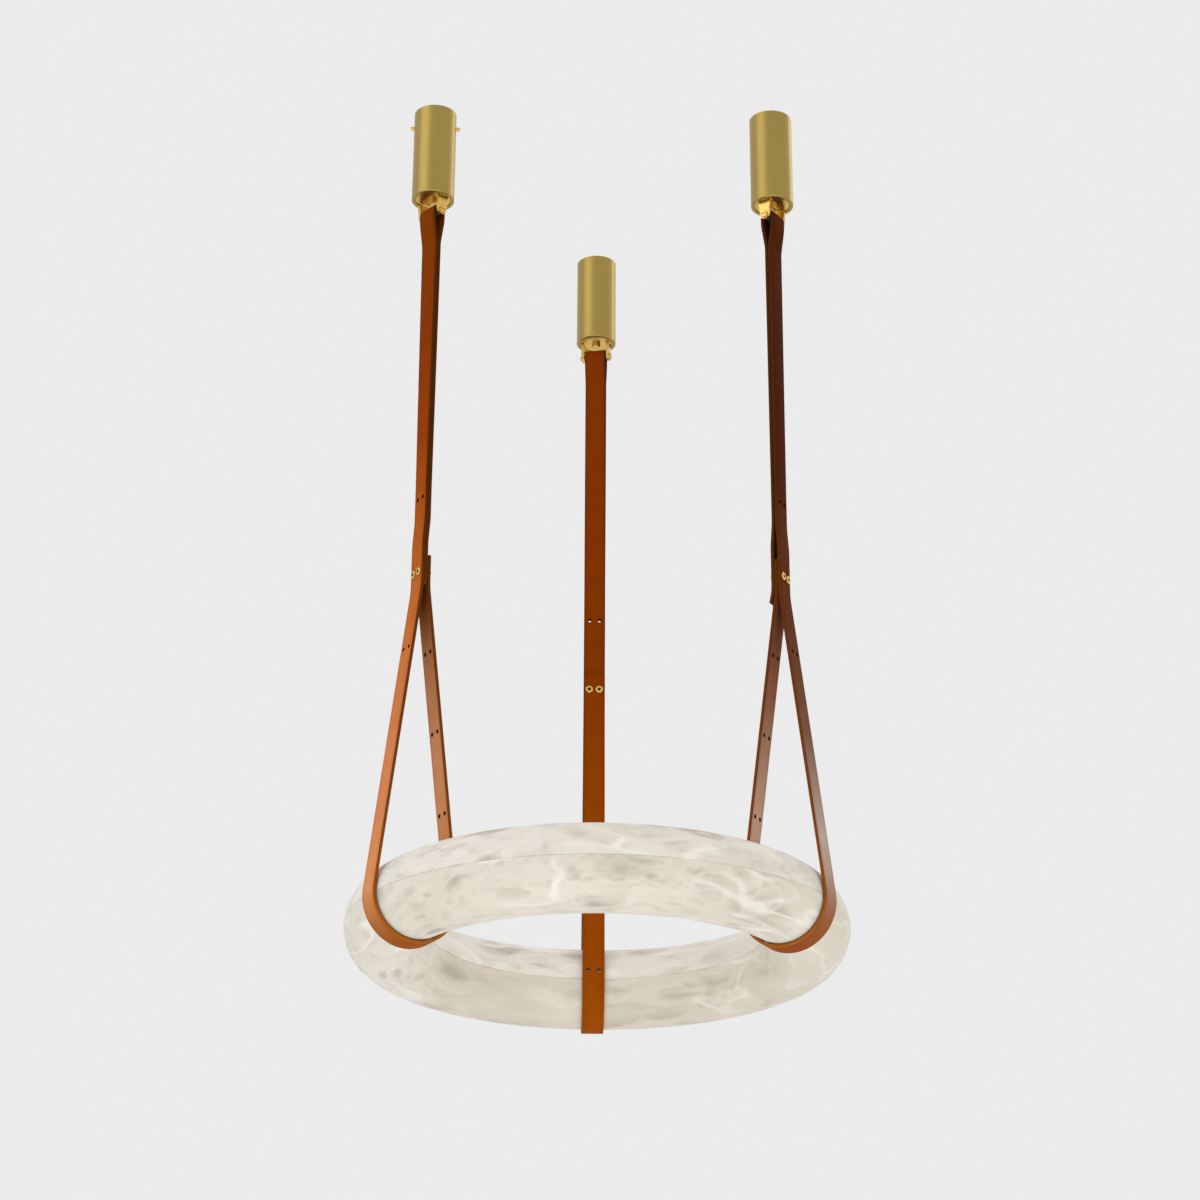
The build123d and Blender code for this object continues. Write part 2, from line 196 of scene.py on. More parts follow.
def setUpCamera():
    lens = bpy.data.cameras.new("photoCamera")
    lens.lens = photoCamera["lens"]
    lens.sensor_width = photoCamera["sensor"]
    lens.clip_start = photoCamera["nearest"]
    camera = bpy.data.objects.new("photoCamera", lens)
    bpy.context.scene.collection.objects.link(camera)
    camera.matrix_world = (
        Matrix.Translation(photoCamera["place"])
        @ Matrix.Rotation(-math.radians(photoCamera["yaw"]), 4, "Z")
        @ Matrix.Rotation(math.radians(90 + photoCamera["pitch"]), 4, "X")
        @ Matrix.Rotation(math.radians(photoCamera["roll"]), 4, "Z")
    )
    bpy.context.scene.camera = camera


# Plain studio: a pale world and floor, and soft lamps placed round the light.
# Azimuth 0 is on the camera's side and 90 is to the right.

studio = {
    "backdrop": 0.831,
    "ambient": 1.0,
    "floorHeight": -5.2,
    "floorRadius": 16.0,
    "floorSides": 96,
    "floorGrain": (1.5, 2.0),  # patches per metre, detail
    "floorDarkest": 0.99,  # of the backdrop's level
    "floorRoughness": 0.9,
    "middle": (0.0, 0.0, -0.6),
    "lamps": {
        "keyPanel": {"azimuth": -56, "elevation": 38, "distance": 3.4, "size": (2.2, 1.4), "power": 9.5},
        "frontFill": {"azimuth": 6, "elevation": -62, "distance": 2.9, "size": (3.0, 2.0), "power": 20},
        "rimStrip": {"azimuth": 124, "elevation": 38, "distance": 3.2, "size": (0.9, 1.6), "power": 7},
    },
}


def setUpWorld():
    world = bpy.data.worlds.new("paleStudio")
    world.use_nodes = True
    bpy.context.scene.world = world
    bpy.context.scene.view_settings.view_transform = "Standard"
    tree = world.node_tree
    tree.nodes.clear()
    graph = Graph(tree)
    ray = graph.node("ShaderNodeLightPath").socket.node
    seen = (Signal(graph, ray.outputs["Is Camera Ray"]) + Signal(graph, ray.outputs["Is Glossy Ray"])
            + Signal(graph, ray.outputs["Is Transmission Ray"]))
    lit, pale = [graph.node("ShaderNodeBackground", None, {"Color": (*(studio[level],) * 3, 1.0)})
                 for level in ("ambient", "backdrop")]
    mixed = graph.node("ShaderNodeMixShader", None, {0: graph.maths("MINIMUM", seen, 1.0), 1: lit, 2: pale})
    graph.node("ShaderNodeOutputWorld", None, {"Surface": mixed})


def setUpFloor():
    bpy.ops.mesh.primitive_circle_add(vertices=studio["floorSides"], radius=studio["floorRadius"],
                                      fill_type="NGON", location=(0, 0, studio["floorHeight"]))
    floor = bpy.context.object
    floor.name = "studioFloor"
    finish = Finish("studioFloor")
    grain = finish.noise(finish.place, *studio["floorGrain"])
    level = studio["backdrop"]
    pale = finish.mix(grain, (level * studio["floorDarkest"],) * 3, (level,) * 3)
    floor.data.materials.append(finish.shade({"Base Color": pale, "Roughness": studio["floorRoughness"]}))


def setUpLamps():
    middle = Vector(studio["middle"])
    for name, lamp in studio["lamps"].items():
        azimuth, elevation = math.radians(lamp["azimuth"]), math.radians(lamp["elevation"])
        level = math.cos(elevation)
        away = Vector((math.sin(azimuth) * level, -math.cos(azimuth) * level, math.sin(elevation)))
        light = bpy.data.lights.new(name, "AREA")
        light.shape = "RECTANGLE"
        light.size, light.size_y = lamp["size"]
        light.energy = lamp["power"]
        holder = bpy.data.objects.new(name, light)
        holder.location = middle + away * lamp["distance"]
        holder.rotation_euler = away.to_track_quat("Z", "Y").to_euler()
        bpy.context.scene.collection.objects.link(holder)


setUpCamera()
setUpWorld()
setUpFloor()
setUpLamps()
print("camera, world, floor and", len(studio["lamps"]), "lamps set up")


def middleOf(*names):
    # middle and size of the box round some CAD nodes
    lows, highs = zip(*(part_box(name) for name in names))
    low = Vector(min(v[i] for v in lows) for i in range(3))
    high = Vector(max(v[i] for v in highs) for i in range(3))
    return (low + high) / 2, high - low


ringMiddle, ringSize = middleOf("alabaster_upper_shell", "alabaster_lower_shell")
tubeRadius = ringSize.z / 2
ringRadius = ringSize.x / 2 - tubeRadius


# Alabaster: cream stone with pale veins and greyer, clearer patches, all drawn out along the ring

# A noise is given by its waves per metre, its detail and its roughness, and a band by where it
# starts and ends
alabaster = {
    "upper": {"cream": (0.765, 0.726, 0.648), "warm": (0.680, 0.636, 0.546), "shift": (0.0, 0.0, 0.0)},
    # the lower shell's cream and warm tones are darker than the upper's: painted shade on the lower half of
    # the ring
    "lower": {"cream": (0.722, 0.676, 0.583), "warm": (0.628, 0.574, 0.468), "shift": (0.31, 0.07, 0.52)},
    "patch": (0.330, 0.285, 0.215),
    "vein": (0.880, 0.848, 0.780),
    "stretch": 2.3,
    "streakStretch": 6.0,
    "wander": {"perMetre": 6.0, "reach": 0.050},
    "fineWander": {"perMetre": 26.0, "reach": 0.016},
    # the same rate pushes the warm haze, darker, in towards the right: painted shade on the right side; the
    # patches towards the left are the stone's own
    "leftwardAndRightShade": 0.35,  # how fast patches take over from the warm haze towards the left, per metre
    "haze": {"noise": (9.0, 6.0, 0.62), "band": (0.36, 0.66)},
    "region": {"noise": (6.0, 2.0), "band": (0.36, 0.54)},  # where flecks, streaks and lenses show
    "flecks": {"noise": (70.0, 4.0, 0.65), "band": (0.48, 0.74), "strength": 0.35},
    "streaks": {"noise": (60.0, 5.0, 0.62), "band": (0.50, 0.72), "strength": 0.30},
    "streaksInLenses": (0.26, 0.56),
    "veined": {"noise": (11.0, 2.0), "band": (0.38, 0.60)},
    "veins": {"noise": (11.0, 2.5, 0.5), "halfWidth": 0.020, "strength": 0.62},
    "fineVeins": {"noise": (9.0, 3.0, 0.5), "halfWidth": 0.022, "strength": 0.38},
    "lens": {
        "least": 0.28, "spread": 0.34, "core": 0.40, "rim": 0.82, "rimWidth": 0.16, "rimStrength": 0.25,
    },
    "lenses": [
        {"perMetre": 15.0, "chance": (0.40, 0.95), "strength": 0.40},
        {"perMetre": 34.0, "chance": (0.40, 0.95), "strength": 0.80},
        {"perMetre": 62.0, "chance": (0.72, 0.95), "strength": 0.45},
    ],
    "roughness": {"least": 0.40, "clouds": 0.16, "veins": 0.06},
    "swell": {"noise": (60.0, 4.0), "veins": 0.3, "depth": 0.0003},
    "shader": {"Subsurface Weight": 0.12, "Subsurface Scale": 0.006, "Specular IOR Level": 0.4},
}


def alongRing(stone, place, stretch):
    # the place with its runs along the ring shortened, so that what is drawn there comes out long
    outward = stone.vector("NORMALIZE", stone.scaled(place, (1.0, 1.0, 0.0)))
    inset = ringRadius * (1.0 - 1.0 / stretch)
    return stone.vector("SUBTRACT", place, stone.scaled(outward, (inset, inset, inset)))


def lensLayer(stone, place, layer):
    # soft lenses, one in some of the cells, each with its own size and strength
    lens = alabaster["lens"]
    distance = stone.cells(place, layer["perMetre"])
    chance, spread, _ = stone.parts(stone.cells(place, layer["perMetre"], "Color"))
    reach = distance / (lens["least"] + spread * lens["spread"])
    fill = 1.0 - stone.band(reach, lens["core"], 1.0)
    rim = 1.0 - stone.band((reach - lens["rim"]).size(), 0.0, lens["rimWidth"])
    return (fill + rim * lens["rimStrength"]) * stone.band(chance, *layer["chance"]) * layer["strength"]


def veinLayer(stone, place, layer, strength):
    # thin lines where a noise passes its middle value
    line = (stone.noise(place, *layer["noise"]) - 0.5).size()
    return (1.0 - stone.band(line, 0.0, layer["halfWidth"])) * strength


def makeAlabaster(half):
    stone = Finish("alabaster" + half.capitalize())
    tones, flecksMade, streaksMade = alabaster[half], alabaster["flecks"], alabaster["streaks"]
    wandering = stone.warped(stone.place, **alabaster["wander"])
    run = stone.vector("ADD", alongRing(stone, wandering, alabaster["stretch"]), tones["shift"])
    run = stone.warped(run, **alabaster["fineWander"])
    longRun = stone.vector("ADD", alongRing(stone, wandering, alabaster["streakStretch"]), tones["shift"])
    leftwardAndRightShade = stone.parts(stone.place)[0] * -alabaster["leftwardAndRightShade"]

    clouds = stone.noise(run, *alabaster["haze"]["noise"])
    flecks = stone.noise(run, *flecksMade["noise"])
    streaks = stone.noise(longRun, *streaksMade["noise"])
    # towards the right the darker warm haze is painted shade
    haze = stone.band(clouds - leftwardAndRightShade, *alabaster["haze"]["band"])
    regions = stone.noise(run, *alabaster["region"]["noise"])
    region = stone.band(regions + leftwardAndRightShade, *alabaster["region"]["band"])
    veined = stone.band(stone.noise(run, *alabaster["veined"]["noise"]), *alabaster["veined"]["band"])
    vein = veinLayer(stone, longRun, alabaster["veins"], veined)
    fineVein = veinLayer(stone, run, alabaster["fineVeins"], veined)

    colour = stone.mix(haze, tones["cream"], tones["warm"])
    for pattern, made in ((flecks, flecksMade), (streaks, streaksMade)):
        part = stone.band(pattern, *made["band"]) * region * made["strength"]
        colour = stone.mix(part, colour, alabaster["patch"])
    for layer in alabaster["lenses"]:
        part = lensLayer(stone, run, layer) * region * stone.band(streaks, *alabaster["streaksInLenses"])
        colour = stone.mix(part, colour, alabaster["patch"])
    colour = stone.mix(fineVein * alabaster["fineVeins"]["strength"], colour, alabaster["vein"])
    colour = stone.mix(vein * alabaster["veins"]["strength"], colour, alabaster["vein"])

    sheen, swell = alabaster["roughness"], alabaster["swell"]
    rough = sheen["least"] + clouds * sheen["clouds"] - vein * sheen["veins"]
    height = stone.noise(stone.place, *swell["noise"]) + vein * swell["veins"]
    return stone.shade({"Base Color": colour, "Roughness": rough,
                        "Normal": stone.bump(height, swell["depth"]), **alabaster["shader"]})


# Brass: brushed upright on the covers, polished on what is turned or milled

brass = {
    "satin": (0.405, 0.292, 0.082),
    "satinDark": (0.370, 0.262, 0.070),
    "brushing": {"noise": (1500.0, 3.0, 0.7), "upright": 0.01, "depth": 0.00004},
    "smudge": (28.0, 4.0, 0.6),
    "satinRoughness": {"least": 0.27, "brushing": 0.12, "smudge": 0.06},
    "polished": (0.72, 0.48, 0.13),
    "patina": (0.36, 0.20, 0.05),
    "tarnish": {"noise": (160.0, 5.0, 0.65), "band": (0.52, 0.80), "strength": 0.5},
    "scratches": {"noise": (1800.0, 2.0), "length": 0.15, "depth": 0.00002},
    "polishedRoughness": {"least": 0.15, "tarnish": 0.14, "scratches": 0.05},
    "softEdge": 0.0005,
}

studs = {
    "spacing": 0.013,
    # near-black in the studs' sockets: dirt, and painted shade
    "dirtAndShade": (0.040, 0.022, 0.008),
    "dirtRoughness": 0.3,
    "socketEdge": (0.0019, 0.0026),  # from the stud's axis
}


def makeSatinBrass():
    metal = Finish("satinBrass")
    brushing, sheen = brass["brushing"], brass["satinRoughness"]
    lines = metal.noise(metal.scaled(metal.place, (1.0, 1.0, brushing["upright"])), *brushing["noise"])
    smudge = metal.noise(metal.place, *brass["smudge"])
    colour = metal.mix(lines * 0.5 + smudge * 0.5, brass["satinDark"], brass["satin"])
    rough = sheen["least"] + lines * sheen["brushing"] + smudge * sheen["smudge"]
    normal = metal.bump(lines, brushing["depth"], metal.softEdge(brass["softEdge"]))
    return metal.shade({"Base Color": colour, "Metallic": 1.0, "Roughness": rough, "Normal": normal})


def makePolishedBrass(name="polishedBrass", dirtAndShadeMask=None):
    metal = Finish(name)
    tarnishing, scratching, sheen = brass["tarnish"], brass["scratches"], brass["polishedRoughness"]
    tarnish = metal.noise(metal.place, *tarnishing["noise"])
    along = metal.scaled(metal.place, (1.0, scratching["length"], 1.0))
    scratches = metal.noise(along, *scratching["noise"])
    worn = metal.band(tarnish, *tarnishing["band"])
    colour = metal.mix(worn * tarnishing["strength"], brass["polished"], brass["patina"])
    rough = sheen["least"] + tarnish * sheen["tarnish"] + scratches * sheen["scratches"]
    # where the mask shows, the brass is painted near-black: dirt, and painted shade in the sockets
    if dirtAndShadeMask:
        dirtAndShade = dirtAndShadeMask(metal)
        colour = metal.mix(dirtAndShade, colour, studs["dirtAndShade"])
        rough = rough + dirtAndShade * studs["dirtRoughness"]
    normal = metal.bump(scratches, scratching["depth"], metal.softEdge(brass["softEdge"]))
    return metal.shade({"Base Color": colour, "Metallic": 1.0, "Roughness": rough, "Normal": normal})


def makeStudBrass(drop):
    # polished brass, painted near-black round the two studs' own axes in their hexagon sockets: some dirt,
    # and painted shade
    studMiddle, _ = middleOf("stud_posts_" + drop, "stud_screws_" + drop)
    coverMiddle, _ = middleOf("canopy_cover_" + drop)
    azimuth = math.atan2(coverMiddle.y, coverMiddle.x)
    beside = (-math.sin(azimuth), math.cos(azimuth), 0.0)

    def dirtAndShadeMask(metal):
        away = metal.vector("SUBTRACT", metal.place, (coverMiddle.x, coverMiddle.y, studMiddle.z))
        sideways = metal.node("ShaderNodeVectorMath", {"operation": "DOT_PRODUCT"},
                              {0: away, 1: beside}, "Value")
        height = metal.parts(away)[2]
        reach = ((sideways.size() - studs["spacing"] / 2) ** 2.0 + height ** 2.0) ** 0.5
        return 1.0 - metal.band(reach, *studs["socketEdge"])

    return makePolishedBrass("studBrass" + drop.capitalize(), dirtAndShadeMask)


# What the stone and the covers hide

zincSteel = {
    "dark": (0.44, 0.46, 0.48),
    "pale": (0.62, 0.64, 0.66),
    "spangle": 240.0,
    "roughness": {"least": 0.34, "spangle": 0.14},
}

carrierAluminium = {
    "dark": (0.66, 0.67, 0.68),
    "pale": (0.78, 0.79, 0.80),
    "mill": {"noise": (900.0, 2.0), "length": 0.03, "depth": 0.00003},
    "roughness": {"least": 0.36, "mill": 0.12},
}

ledTape = {
    "dark": (0.78, 0.77, 0.73),
    "pale": (0.86, 0.85, 0.81),
    "weave": (700.0, 2.0),
    "roughness": {"least": 0.5, "weave": 0.1},
}

moulded = {
    "driverCase": {
        "dark": (0.70, 0.70, 0.68), "pale": (0.80, 0.80, 0.78), "noise": (1400.0, 3.0, 0.6),
        "roughness": 0.45,
    },
    "darkNylon": {
        "dark": (0.018, 0.017, 0.016), "pale": (0.040, 0.038, 0.036), "noise": (1800.0, 3.0, 0.6),
        "roughness": 0.42,
    },
    "grainRoughness": 0.1,
    "depth": 0.00008,
}


def makeZincSteel():
    metal = Finish("zincSteel")
    tone = metal.parts(metal.cells(metal.place, zincSteel["spangle"], "Color"))[0]
    colour = metal.mix(tone, zincSteel["dark"], zincSteel["pale"])
    rough = zincSteel["roughness"]["least"] + tone * zincSteel["roughness"]["spangle"]
    return metal.shade({"Base Color": colour, "Metallic": 1.0, "Roughness": rough,
                        "Normal": metal.softEdge(brass["softEdge"])})


def makeAluminium():
    metal = Finish("carrierAluminium")
    milling = carrierAluminium["mill"]
    mill = metal.noise(metal.scaled(metal.place, (1.0, milling["length"], 1.0)), *milling["noise"])
    colour = metal.mix(mill, carrierAluminium["dark"], carrierAluminium["pale"])
    rough = carrierAluminium["roughness"]["least"] + mill * carrierAluminium["roughness"]["mill"]
    return metal.shade({"Base Color": colour, "Metallic": 1.0, "Roughness": rough,
                        "Normal": metal.bump(mill, milling["depth"])})


def makeTape():
    tape = Finish("ledTape")
    weave = tape.noise(tape.place, *ledTape["weave"])
    colour = tape.mix(weave, ledTape["dark"], ledTape["pale"])
    rough = ledTape["roughness"]["least"] + weave * ledTape["roughness"]["weave"]
    return tape.shade({"Base Color": colour, "Roughness": rough})


def makeMoulded(name):
    plastic, made = Finish(name), moulded[name]
    grain = plastic.noise(plastic.place, *made["noise"])
    colour = plastic.mix(grain, made["dark"], made["pale"])
    rough = made["roughness"] + grain * moulded["grainRoughness"]
    normal = plastic.bump(grain, moulded["depth"], plastic.softEdge(brass["softEdge"]))
    return plastic.shade({"Base Color": colour, "Roughness": rough, "Normal": normal})


drops = ("rear", "left", "right")
satinFinish = makeSatinBrass()
polishedFinish = makePolishedBrass()
steelFinish = makeZincSteel()
aluminiumFinish = makeAluminium()
tapeFinish = makeTape()
caseFinish = makeMoulded("driverCase")
nylonFinish = makeMoulded("darkNylon")

for half in ("upper", "lower"):
    dress(makeAlabaster(half), "alabaster_" + half + "_shell")
dress(aluminiumFinish, "led_carrier")
dress(tapeFinish, "led_strip_upper", "led_strip_lower")
dress(polishedFinish, "dowel_pins", "cable_gland")
dress(caseFinish, "led_driver", "terminal_block")
for drop in drops:
    dress(satinFinish, "canopy_cover_" + drop)
    dress(steelFinish, "hanger_frame_" + drop, "pin_clip_" + drop)
    dress(nylonFinish, "strap_roller_" + drop)
    dress(polishedFinish, *(kind + drop for kind in ("side_screws_", "yoke_", "yoke_bolt_", "yoke_pin_")))
    dress(makeStudBrass(drop), "stud_posts_" + drop, "stud_screws_" + drop)
print("materials on", len(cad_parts) - len(drops), "CAD nodes")


# Leather straps: each is one long strip, from its end in the joint down the inner leg, under
# the stone, up the outer leg, over the roller and down again into the joint

strap = {
    "width": 0.028,
    "thickness": 0.004,
    "edgeRound": 0.0011,
    "edgeSteps": 4,
    "plyPitch": 0.0043,  # from ply to ply in the joint
    "slingGap": 0.0012,
    "rollerGap": 0.0003,
    "legBreak": 0.020,  # the legs part this far under the studs
    "legBend": 0.120,
    "tailUp": 0.021,  # the strip's lower end above the studs
    "tailDown": 0.015,  # its upper end under them
    "shiftStart": 0.040,  # above the studs, two plies move to the middle from here
    "shiftEnd": 0.070,
    "twistStart": 0.115,
    "twistSteps": 26,
    "loopRun": 0.060,  # the loop starts this far under the pin
    "loopLead": 0.015,
    "loopRise": 0.012,
    "loopBend": 0.060,
    "flare": 5.0,  # degrees, of an upper end that lies inside
    "wrapSteps": 56,
    "rollerSteps": 20,
    "bendSteps": 7,
    "sharpAngle": 35.0,
}

holes = {
    "diameter": 0.0054,
    "sides": 20,
    "spacing": studs["spacing"],
    "pitch": 0.100,
    "depth": 0.014,
    "outerLeg": (1,),
}

# turn of the yoke in degrees, whether the end of the upper ply lies innermost in the joint,
# and the places down the inner leg, at the holes' pitch, that have a pair of holes
dropTurns = {
    "rear": {"turn": -14.0, "endInside": False, "innerLeg": (2, 3, 4)},
    "left": {"turn": 12.0, "endInside": False, "innerLeg": (1, 2, 3, 4)},
    "right": {"turn": -6.0, "endInside": True, "innerLeg": (1, 2, 3, 4)},
}

wrapRadius = tubeRadius + strap["slingGap"] + strap["thickness"] / 2


def turned(vector, angle):
    c, s = math.cos(angle), math.sin(angle)
    return Vector((vector.x * c - vector.y * s, vector.x * s + vector.y * c))


def arc(middle, start, sweep, steps):
    # points round a middle, from a start point through a sweep in radians
    return [middle + turned(start - middle, sweep * step / steps) for step in range(steps + 1)]


def bentRun(corners, bend):
    # straight runs whose corners are rounded by arcs of one radius
    points = [corners[0]]
    for before, corner, after in zip(corners, corners[1:], corners[2:]):
        inward, outward = (corner - before).normalized(), (after - corner).normalized()
        sweep = math.atan2(inward.x * outward.y - inward.y * outward.x, inward.dot(outward))
        if abs(sweep) > 1e-5:  # else the run goes straight on
            side = math.copysign(1.0, sweep)
            start = corner - inward * bend * math.tan(abs(sweep) / 2)
            middle = start + Vector((-inward.y, inward.x)) * side * bend
            points += arc(middle, start, sweep, strap["bendSteps"])
        else:
            points.append(corner)
    return points + [corners[-1]]


def legAngle(offset, corner):
    # angle from upright of a leg that leaves the joint at an offset and touches the wrap
    return math.asin(wrapRadius / math.hypot(offset, corner)) - math.atan2(offset, corner)


def stripRoute(drop, joint, pin, loopRadius):
    # the strip's middle line as (outward, height, turn), heights from the ring's middle plane
    pitch, turn = strap["plyPitch"], math.radians(dropTurns[drop]["turn"])
    endInside = dropTurns[drop]["endInside"]
    innerOffset, endOffset = (0.0, -pitch) if endInside else (-pitch, 0.0)
    corner = joint - strap["legBreak"]
    outer, inner = legAngle(pitch, corner), legAngle(-innerOffset, corner)
    innerTouch = Vector((-wrapRadius * math.cos(inner), wrapRadius * math.sin(inner)))
    outerTouch = Vector((wrapRadius * math.cos(outer), wrapRadius * math.sin(outer)))
    low, high = joint + strap["twistStart"], pin - strap["loopRun"]
    shift = [Vector((pitch / 2, joint + strap["shiftEnd"])), Vector((pitch / 2, low))]

    def level(points, angle=0.0):
        return [(p.x, p.y, angle) for p in points]

    def mirrored(points):
        return [(-y, z, angle) for y, z, angle in reversed(points)]

    def twist():
        steps = [step / strap["twistSteps"] for step in range(1, strap["twistSteps"])]
        return [(pitch / 2, low + part * (high - low), part * turn) for part in steps]

    tail = level(bentRun([Vector((innerOffset, joint + strap["tailUp"])),
                          Vector((innerOffset, corner)), innerTouch], strap["legBend"]))
    wrap = level(arc(Vector((0.0, 0.0)), innerTouch, math.pi + inner + outer, strap["wrapSteps"])[1:])
    rise = level(bentRun([outerTouch, Vector((pitch, corner)),
                          Vector((pitch, joint + strap["shiftStart"]))] + shift, strap["legBend"])[1:])
    loop = level(bentRun([
        Vector((pitch / 2, high)), Vector((pitch / 2, high + strap["loopLead"])),
        Vector((loopRadius, pin - strap["loopRise"])), Vector((loopRadius, pin)),
    ], strap["loopBend"]), turn)
    overRoller = arc(Vector((0.0, pin)), Vector((loopRadius, pin)), math.pi, strap["rollerSteps"])
    crown = level(overRoller[1:-1], turn)
    end = [Vector((endOffset, joint + strap["shiftStart"]))]
    bend = strap["legBend"]
    if endInside:
        slope = inner + math.radians(strap["flare"])
        turnPoint = Vector((endOffset, corner + pitch * math.tan(inner / 2)))
        end += [turnPoint, turnPoint - Vector((math.sin(slope), math.cos(slope))) * strap["tailDown"]]
        bend = strap["legBend"] / 2
    else:
        end.append(Vector((endOffset, joint - strap["tailDown"])))
    back = [Vector((-p.x, p.y)) for p in reversed(shift)]
    fall = level(bentRun(back + end, bend))
    route = tail + wrap + rise + twist() + loop + crown + mirrored(loop) + mirrored(twist()) + fall
    return route, outer, inner, innerOffset


def holeMarks(drop, joint, outer, inner, innerOffset):
    # (outward, height, tilt) of each pair of holes: through the joint, one pitch above it, down the legs
    corner = joint - strap["legBreak"]
    marks = [(0.0, joint, 0.0), (0.0, joint + holes["pitch"], 0.0)]
    for side, offset, angle, pairs in ((1, strap["plyPitch"], outer, holes["outerLeg"]),
                                       (-1, innerOffset, inner, dropTurns[drop]["innerLeg"])):
        for pair in pairs:
            run = pair * holes["pitch"] - strap["legBreak"]
            outward, height = offset + side * run * math.sin(angle), corner - run * math.cos(angle)
            marks.append((outward, height, side * angle))
    return marks


def meshOf(name, points, edges, attributes):
    mesh = bpy.data.meshes.new(name)
    mesh.from_pydata(points, edges, [])
    for label, (kind, values) in attributes.items():
        field = mesh.attributes.new(label, kind, "POINT")
        if kind == "FLOAT":
            field.data.foreach_set("value", values)
        else:
            field.data.foreach_set("vector", [part for value in values for part in value])
    piece = bpy.data.objects.new(name, mesh)
    bpy.context.scene.collection.objects.link(piece)
    return piece


class GeometryTree(Graph):
    # a Geometry Nodes tree with named inputs
    def __init__(self, name):
        super().__init__(bpy.data.node_groups.new(name, "GeometryNodeTree"))
        self.keys = {}
        for side in ("INPUT", "OUTPUT"):
            self.tree.interface.new_socket("Geometry", in_out=side, socket_type="NodeSocketGeometry")
        self.entry = self.tree.nodes.new("NodeGroupInput")
        self.base = Signal(self, self.entry.outputs["Geometry"])

    def input(self, name, kind="Float"):
        socket = self.tree.interface.new_socket(name, in_out="INPUT", socket_type="NodeSocket" + kind)
        self.keys[name] = socket.identifier
        return Signal(self, self.entry.outputs[name])

    def attribute(self, name, kind="FLOAT_VECTOR"):
        return self.node("GeometryNodeInputNamedAttribute", {"data_type": kind}, {"Name": name})

    def store(self, geometry, name, value, domain="POINT"):
        return self.node("GeometryNodeStoreNamedAttribute", {"data_type": "FLOAT_VECTOR", "domain": domain},
                         {"Geometry": geometry, "Name": name, "Value": value})

    def smoothed(self, geometry, angle):
        # smooth faces, with the edges sharper than an angle kept sharp
        geometry = self.node("GeometryNodeSetShadeSmooth", None, {"Geometry": geometry})
        bent = self.node("GeometryNodeInputMeshEdgeAngle")
        sharp = self.node("FunctionNodeCompare", {"operation": "GREATER_THAN"}, {0: bent, 1: angle})
        return self.node("GeometryNodeSetShadeSmooth", {"domain": "EDGE"},
                         {"Geometry": geometry, "Selection": sharp, "Shade Smooth": False})

    def finish(self, geometry, material):
        geometry = self.node("GeometryNodeRealizeInstances", None, {"Geometry": geometry})
        geometry = self.node("GeometryNodeSetMaterial", None, {"Geometry": geometry, "Material": material})
        result = self.tree.nodes.new("NodeGroupOutput")
        self.tree.links.new(geometry.socket, result.inputs["Geometry"])

    def grow(self, base, name, values):
        # runs the tree on a base object and keeps the result as a plain mesh
        modifier = base.modifiers.new(name, "NODES")
        modifier.node_group = self.tree
        for label, value in values.items():
            modifier[self.keys[label]] = value
        bpy.context.view_layer.update()
        depsgraph = bpy.context.evaluated_depsgraph_get()
        mesh = bpy.data.meshes.new_from_object(
            base.evaluated_get(depsgraph), preserve_all_data_layers=True, depsgraph=depsgraph)
        base.modifiers.remove(modifier)
        bpy.data.objects.remove(base)
        mesh.name = name
        piece = bpy.data.objects.new(name, mesh)
        bpy.context.scene.collection.objects.link(piece)
        return piece


def makeStrapTree():
    tree = GeometryTree("strapStrip")
    width, thickness = tree.input("Strap Width"), tree.input("Strap Thickness")
    edgeRound, edgeSteps = tree.input("Edge Round"), tree.input("Edge Steps", "Int")
    marks = tree.input("Hole Marks", "Object")
    diameter, depth = tree.input("Hole Diameter"), tree.input("Hole Depth")
    sides = tree.input("Hole Sides", "Int")
    hide = tree.input("Leather", "Material")
    route = tree.node("GeometryNodeMeshToCurve", None, {"Mesh": tree.base})
    route = tree.node("GeometryNodeSetCurveNormal", {"mode": "FREE"},
                      {"Curve": route, "Normal": tree.attribute("widthWay")})
    section = tree.node("GeometryNodeCurvePrimitiveQuadrilateral", None,
                        {"Width": width, "Height": thickness})
    section = tree.node("GeometryNodeFilletCurve", {"mode": "POLY"},
                        {"Curve": section, "Count": edgeSteps, "Radius": edgeRound})
    section = tree.store(section, "section", tree.node("GeometryNodeInputPosition"))
    strip = tree.node("GeometryNodeCurveToMesh", None,
                      {"Curve": route, "Profile Curve": section, "Fill Caps": True})
    across, through, _ = tree.parts(tree.attribute("section"))
    space = tree.join(across, through, tree.attribute("along", "FLOAT"))
    strip = tree.store(strip, "strapSpace", space, "CORNER")
    cutter = tree.node("GeometryNodeMeshCylinder", None,
                       {"Vertices": sides, "Radius": diameter * 0.5, "Depth": depth})
    facing = tree.node("FunctionNodeAlignRotationToVector", {"axis": "Z"},
                       {"Vector": tree.attribute("holeWay")})
    places = tree.node("GeometryNodeObjectInfo", None, {"Object": marks}, "Geometry")
    cutters = tree.node("GeometryNodeInstanceOnPoints", None,
                        {"Points": places, "Instance": cutter, "Rotation": facing})
    cutters = tree.node("GeometryNodeRealizeInstances", None, {"Geometry": cutters})
    strip = tree.node("GeometryNodeMeshBoolean", {"operation": "DIFFERENCE", "solver": "EXACT"},
                      {"Mesh 1": strip, "Mesh 2": cutters})
    tree.finish(tree.smoothed(strip, math.radians(strap["sharpAngle"])), hide)
    return tree
